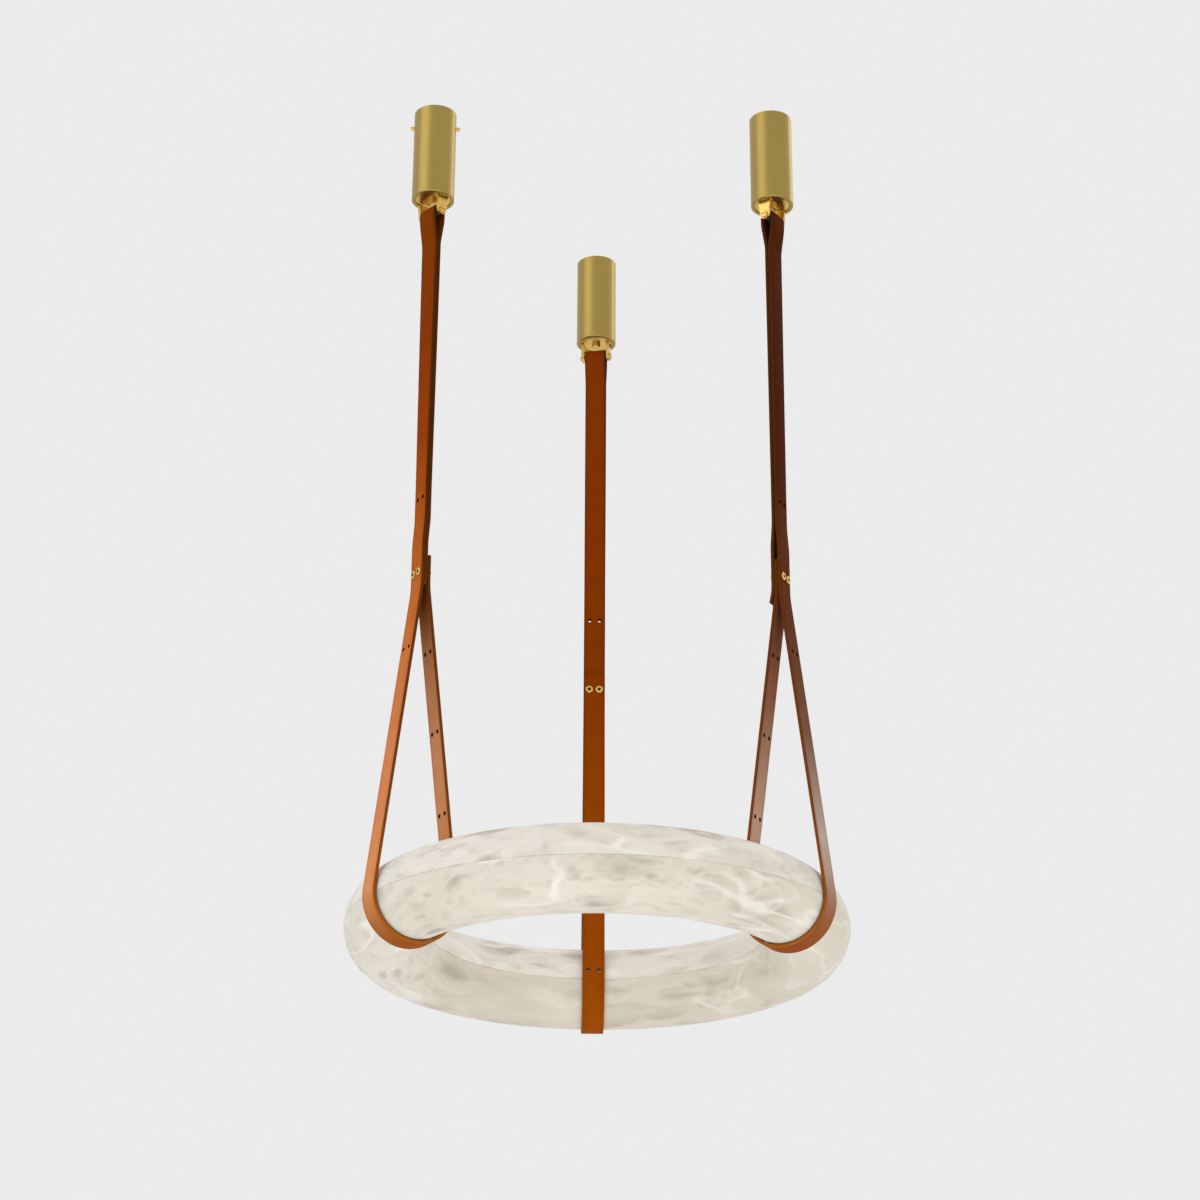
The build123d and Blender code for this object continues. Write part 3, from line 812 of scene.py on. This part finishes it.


# Leather tones at heights from the bottom of the sling up to the roller, per strap: the inner leg
# has its own, and the rest of the strip has the outer ones. Besides the dye, these ramps hold painted
# light: the left strap painted lighter as if lit from the left, the right strap painted darker as if
# in shade, painted sheen on the lower legs (peach on the left, greyish pink on the right), and
# painted shade near the joints.
leatherTonesAndPaintedLight = {
    "rear": {
        "inner": [
            (0.00, (0.310, 0.066, 0.0014)), (0.13, (0.285, 0.057, 0.0008)),
            (0.30, (0.260, 0.050, 0.0006)), (0.50, (0.222, 0.036, 0.0005)),
        ],
        "outer": [
            (0.00, (0.310, 0.066, 0.0014)), (0.30, (0.260, 0.050, 0.0006)),
            (0.50, (0.215, 0.036, 0.0005)), (1.00, (0.203, 0.032, 0.0012)),
        ],
    },
    "left": {
        "inner": [
            (0.00, (0.300, 0.080, 0.0100)), (0.10, (0.700, 0.300, 0.1300)),
            (0.21, (0.720, 0.320, 0.1450)), (0.32, (0.570, 0.265, 0.1200)),
            (0.38, (0.450, 0.190, 0.0700)), (0.44, (0.210, 0.060, 0.0150)),
        ],
        "outer": [
            (0.00, (0.300, 0.080, 0.0100)), (0.06, (0.650, 0.270, 0.1000)),
            (0.15, (0.625, 0.225, 0.0900)), (0.24, (0.610, 0.210, 0.0760)),
            (0.37, (0.535, 0.160, 0.0360)), (0.53, (0.400, 0.092, 0.0080)),
            (0.66, (0.293, 0.043, 0.0010)), (0.81, (0.230, 0.034, 0.0007)),
            (1.00, (0.195, 0.041, 0.0006)),
        ],
    },
    "right": {
        "inner": [
            (0.00, (0.260, 0.062, 0.0100)), (0.08, (0.600, 0.340, 0.2300)),
            (0.16, (0.640, 0.390, 0.2800)), (0.21, (0.510, 0.316, 0.2230)),
            (0.26, (0.430, 0.237, 0.1560)), (0.32, (0.343, 0.140, 0.0800)),
            (0.43, (0.285, 0.092, 0.0420)),
        ],
        "outer": [
            (0.00, (0.260, 0.062, 0.0100)), (0.03, (0.300, 0.110, 0.0450)),
            (0.08, (0.400, 0.260, 0.2000)), (0.13, (0.430, 0.345, 0.3000)),
            (0.20, (0.300, 0.200, 0.1500)), (0.26, (0.185, 0.090, 0.0550)),
            (0.32, (0.142, 0.052, 0.0270)), (0.43, (0.102, 0.027, 0.0080)),
            (0.54, (0.100, 0.019, 0.0020)), (0.62, (0.061, 0.007, 0.0002)),
            (0.80, (0.061, 0.008, 0.0002)), (1.00, (0.070, 0.015, 0.0005)),
        ],
    },
}

# Where a mask shows, the tone under it is multiplied by the mask's own tone. The bands of the edge,
# the worn part, the flesh side and the holes are metres from the strip's middle.
leather = {
    # cut edges by height: dyed darker than the face, with a painted orange highlight near the bottom of the
    # sling and painted shade, near-black, higher up
    "edgeTonesWithPaintedLight": [
        (0.00, (0.370, 0.115, 0.016)), (0.06, (0.260, 0.070, 0.009)),
        (0.20, (0.170, 0.043, 0.006)), (0.60, (0.070, 0.019, 0.003)),
    ],
    "edge": (0.0124, 0.0136),
    "toneChange": 0.06,  # half the run under the stone from the inner tones to the outer ones
    "mottle": {
        "noise": (45.0, 5.0, 0.6), "band": (0.35, 0.75), "strength": 0.28, "tone": (0.72, 0.62, 0.50),
    },
    "fibre": {"noise": (420.0, 3.0, 0.6), "length": 0.06, "strength": 0.18, "tone": (1.30, 1.25, 1.15)},
    "worn": {"band": (0.006, 0.0125), "strength": 0.5, "tone": (0.84, 0.74, 0.60)},
    "flesh": {"band": (0.0012, 0.0018), "strength": 0.8, "tone": (0.82, 0.82, 0.82)},
    # the hole walls are painted near-black: painted shade inside the holes
    "paintedHoleShade": {"band": (0.0010, 0.0014), "acrossShare": 0.2, "tone": (0.030, 0.010, 0.004)},
    "pores": {"perMetre": 1300.0, "warp": {"perMetre": 300.0, "reach": 0.001}},
    "suede": {"noise": (2600.0, 3.0, 0.7), "strength": 1.4},
    "swell": 0.8,
    "depth": 0.00010,
    "roughness": {"least": 0.46, "mottle": 0.12, "flesh": 0.20, "edge": 0.06},
    "specular": 0.008,
}


def makeLeather(drop, low, high, bottom):
    # strapSpace holds how far a point lies across, through and along the strip
    hide = Finish("saddleLeather" + drop.capitalize())
    space = hide.node("ShaderNodeAttribute", {"attribute_name": "strapSpace"}, outlet="Vector")
    across, through, along = hide.parts(space)
    height = hide.parts(hide.place)[2]
    climb = hide.node("ShaderNodeMapRange", None, {"Value": height, "From Min": low, "From Max": high})
    # the inner and outer ramps give the dye together with painted light: lit and shaded straps, painted
    # sheen and painted shade
    inner, outer, edgeTone = [
        hide.node("ShaderNodeValToRGB", {"stops": stops}, {"Fac": climb})
        for stops in (leatherTonesAndPaintedLight[drop]["inner"], leatherTonesAndPaintedLight[drop]["outer"], leather["edgeTonesWithPaintedLight"])]
    change = leather["toneChange"]
    tone = hide.mix(hide.band(along, bottom - change, bottom + change), inner, outer)

    def shaded(tone, mask, made):
        return hide.mix(mask * made["strength"], tone, hide.scaled(tone, made["tone"]))

    mottle = hide.noise(space, *leather["mottle"]["noise"])
    fibreSpace = hide.scaled(space, (1.0, 1.0, leather["fibre"]["length"]))
    fibre = hide.noise(fibreSpace, *leather["fibre"]["noise"])
    flesh = hide.band(0.0 - through, *leather["flesh"]["band"])
    tone = shaded(tone, hide.band(mottle, *leather["mottle"]["band"]), leather["mottle"])
    tone = shaded(tone, fibre, leather["fibre"])
    tone = shaded(tone, hide.band(across.size(), *leather["worn"]["band"]), leather["worn"])
    tone = shaded(tone, flesh, leather["flesh"])
    rim = hide.band(across.size(), *leather["edge"])
    # the cut edges take the edge ramp: darker dye, a painted highlight low down and painted shade higher up
    tone = hide.mix(rim, tone, edgeTone)
    # the walls of the holes come from the cutters, so strapSpace is zero there
    # the hole walls are painted near-black, as painted shade inside the holes
    hole = leather["paintedHoleShade"]
    inHole = 1.0 - hide.band(through.size() + across.size() * hole["acrossShare"], *hole["band"])
    tone = hide.mix(inHole * (1.0 - rim), tone, hole["tone"])

    pores = hide.cells(hide.warped(space, **leather["pores"]["warp"]), leather["pores"]["perMetre"])
    suede = hide.noise(space, *leather["suede"]["noise"])
    surface = pores * (1.0 - flesh) + suede * flesh * leather["suede"]["strength"]
    grain = surface * (1.0 - rim) + mottle * leather["swell"]
    sheen = leather["roughness"]
    rough = sheen["least"] + mottle * sheen["mottle"] + flesh * sheen["flesh"] - rim * sheen["edge"]
    return hide.shade({"Base Color": tone, "Roughness": rough, "Normal": hide.bump(grain, leather["depth"]),
                       "Specular IOR Level": leather["specular"]})


strapTree = makeStrapTree()


def makeStrap(drop):
    studMiddle, _ = middleOf("stud_posts_" + drop, "stud_screws_" + drop)
    rollerMiddle, rollerSize = middleOf("strap_roller_" + drop)
    coverMiddle, _ = middleOf("canopy_cover_" + drop)
    joint, pin = studMiddle.z - ringMiddle.z, rollerMiddle.z - ringMiddle.z
    loopRadius = rollerSize.z / 2 + strap["rollerGap"] + strap["thickness"] / 2
    route, outer, inner, innerOffset = stripRoute(drop, joint, pin, loopRadius)
    azimuth = math.atan2(coverMiddle.y, coverMiddle.x)
    place = (Matrix.Translation((coverMiddle.x, coverMiddle.y, ringMiddle.z))
             @ Matrix.Rotation(azimuth - math.pi / 2, 4, "Z"))

    points, ways, runs = [], [], []
    for outward, height, turn in route:
        frameTurn = place @ Matrix.Rotation(turn, 4, "Z")
        point = frameTurn @ Vector((0.0, outward, height))
        if points and (point - points[-1]).length < 1e-6:  # two runs meet here
            continue
        runs.append(runs[-1] + (point - points[-1]).length if points else 0.0)
        points.append(point)
        ways.append((frameTurn.to_3x3() @ Vector((1.0, 0.0, 0.0))).normalized())
    edges = [(n, n + 1) for n in range(len(points) - 1)]
    base = meshOf("strapRoute", points, edges,
                  {"widthWay": ("FLOAT_VECTOR", ways), "along": ("FLOAT", runs)})

    marks, markWays = [], []
    for outward, height, tilt in holeMarks(drop, joint, outer, inner, innerOffset):
        way = place.to_3x3() @ Vector((0.0, math.cos(tilt), math.sin(tilt)))
        for side in (-0.5, 0.5):
            marks.append(place @ Vector((side * holes["spacing"], outward, height)))
            markWays.append(way)
    markPiece = meshOf("strapHoleMarks", marks, [], {"holeWay": ("FLOAT_VECTOR", markWays)})

    low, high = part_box("strap_" + drop)[0].z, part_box("strap_" + drop)[1].z
    bottom = runs[min(range(len(points)), key=lambda n: points[n].z)]
    piece = strapTree.grow(base, "leatherStrap_" + drop, {
        "Strap Width": strap["width"], "Strap Thickness": strap["thickness"],
        "Edge Round": strap["edgeRound"], "Edge Steps": strap["edgeSteps"],
        "Hole Marks": markPiece, "Hole Diameter": holes["diameter"], "Hole Depth": holes["depth"],
        "Hole Sides": holes["sides"], "Leather": makeLeather(drop, low, high, bottom),
    })
    bpy.data.objects.remove(markPiece)
    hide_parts("strap_" + drop)
    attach(piece, "strap_" + drop + "_body")
    print("strap", drop, "is", round(runs[-1], 3), "m long, with", len(piece.data.polygons), "faces")


for drop in drops:
    makeStrap(drop)


# LED chips along both tapes inside the stone

chips = {
    "perTape": 180,
    "size": (0.0028, 0.0035, 0.0007),
    "sink": 0.0001,
    "tapeWidth": 0.010,
    "rowSteps": 256,
    "dark": (0.86, 0.62, 0.14),
    "pale": (0.92, 0.74, 0.26),
    "grain": (900.0, 2.0),
    "roughness": {"least": 0.32, "grain": 0.1},
}


def makeChipFinish():
    chip = Finish("ledChip")
    grain = chip.noise(chip.place, *chips["grain"])
    colour = chip.mix(grain, chips["dark"], chips["pale"])
    rough = chips["roughness"]["least"] + grain * chips["roughness"]["grain"]
    return chip.shade({"Base Color": colour, "Roughness": rough})


def makeChips():
    tree = GeometryTree("chipRow")
    radius, count = tree.input("Row Radius"), tree.input("Chip Count", "Int")
    size, heights = tree.input("Chip Size", "Vector"), tree.input("Row Height")
    finish = tree.input("Chip Finish", "Material")
    circle = tree.node("GeometryNodeCurvePrimitiveCircle", None,
                       {"Resolution": chips["rowSteps"], "Radius": radius})
    row = tree.node("GeometryNodeCurveToPoints", None, {"Curve": circle, "Count": count})
    turn = Signal(tree, row.socket.node.outputs["Rotation"])
    chip = tree.node("GeometryNodeMeshCube", None, {"Size": size})
    placed = tree.node("GeometryNodeInstanceOnPoints", None,
                       {"Points": row, "Instance": chip, "Rotation": turn})
    lift = tree.node("GeometryNodeTransform", None,
                     {"Geometry": placed, "Translation": tree.join(0.0, 0.0, heights)})
    tree.finish(lift, finish)
    finish = makeChipFinish()
    for side, name in ((1, "led_strip_upper"), (-1, "led_strip_lower")):
        tapeMiddle, tapeSize = middleOf(name)
        face = tapeMiddle.z + side * (tapeSize.z / 2 + chips["size"][2] / 2 - chips["sink"])
        base = meshOf("chipBase", [(0, 0, 0)], [], {})
        piece = tree.grow(base, "ledChips_" + name.split("_")[-1], {
            "Row Radius": tapeSize.x / 2 - chips["tapeWidth"] / 2, "Row Height": face,
            "Chip Count": chips["perTape"], "Chip Size": chips["size"], "Chip Finish": finish,
        })
        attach(piece, "ring_body")
        print("chips", name, len(piece.data.polygons), "faces")


makeChips()
